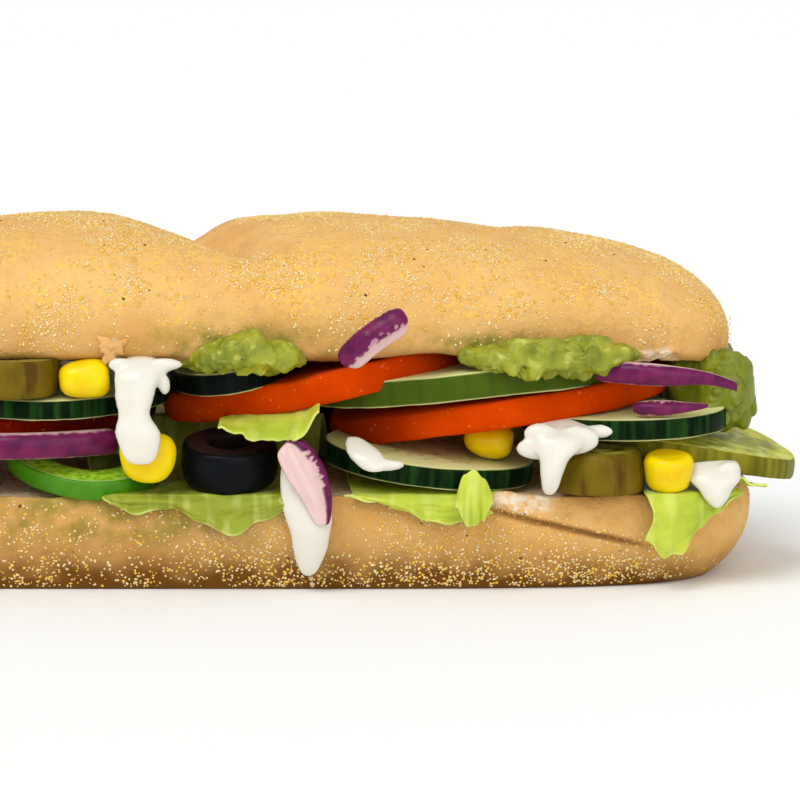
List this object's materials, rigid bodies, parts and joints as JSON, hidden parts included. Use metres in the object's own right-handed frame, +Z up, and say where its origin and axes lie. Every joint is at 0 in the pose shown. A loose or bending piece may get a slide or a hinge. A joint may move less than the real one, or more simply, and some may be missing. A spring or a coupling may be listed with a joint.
{
  "type": "submarine sandwich",
  "caption": "Long filled roll in two halves with tomato, cucumber, onion, olives, sweetcorn, pepper, pickle, lettuce, avocado and white sauce showing at its sides.",
  "frame": {"origin": "middle of the flat underside of the bottom half of the roll", "axes": "+X along the roll, -Y towards the side shown in the picture, +Z up"},
  "size_m": [0.2382, 0.0993, 0.073],
  "materials": {
    "crust": "baked crust, matt",
    "tomato": "wet tomato skin, glossy",
    "cucumber": "wet cucumber skin, satin",
    "pepper": "pepper skin, glossy",
    "pickle": "pickled cucumber, wet",
    "red_onion": "onion skin, satin",
    "black_olive": "olive skin, satin",
    "green_olive": "olive skin, satin",
    "sweetcorn": "corn skin, glossy",
    "avocado": "mash, moist",
    "sauce": "creamy sauce, glossy",
    "lettuce": "leaf, satin"
  },
  "bodies": {
    "root": {"avocado_end": "avocado", "avocado_left": "avocado", "avocado_middle": "avocado", "avocado_right": "avocado", "black_olive": "black_olive", "black_olive_back": "black_olive", "corn_back_left": "sweetcorn", "corn_back_right": "sweetcorn", "corn_left": "sweetcorn", "corn_middle": "sweetcorn", "corn_right": "sweetcorn", "corn_under_sauce": "sweetcorn", "corn_upper": "sweetcorn", "cucumber_back": "cucumber", "cucumber_left": "cucumber", "cucumber_long": "cucumber", "cucumber_low": "cucumber", "cucumber_right": "cucumber", "cucumber_shaded": "cucumber", "cucumber_upper": "cucumber", "green_olive_left": "green_olive", "green_olive_near": "green_olive", "green_olive_upper": "green_olive", "lettuce_curl": "lettuce", "lettuce_end": "lettuce", "lettuce_left": "lettuce", "lettuce_middle": "lettuce", "lettuce_right_middle": "lettuce", "lettuce_tip": "lettuce", "onion_back_left": "red_onion", "onion_back_right": "red_onion", "onion_hanging": "red_onion", "onion_left": "red_onion", "onion_long": "red_onion", "onion_right": "red_onion", "onion_scrap": "red_onion", "onion_tucked": "red_onion", "pepper_back": "pepper", "pepper_near": "pepper", "pickle_left": "pickle", "pickle_right": "pickle", "roll_bottom": "crust", "roll_top": "crust", "sauce_back": "sauce", "sauce_left": "sauce", "sauce_long_run": "sauce", "sauce_middle": "sauce", "sauce_over_corn": "sauce", "sauce_right": "sauce", "sauce_small": "sauce", "tomato_end": "tomato", "tomato_left": "tomato", "tomato_middle": "tomato", "tomato_right": "tomato"}
  },
  "joints": []
}
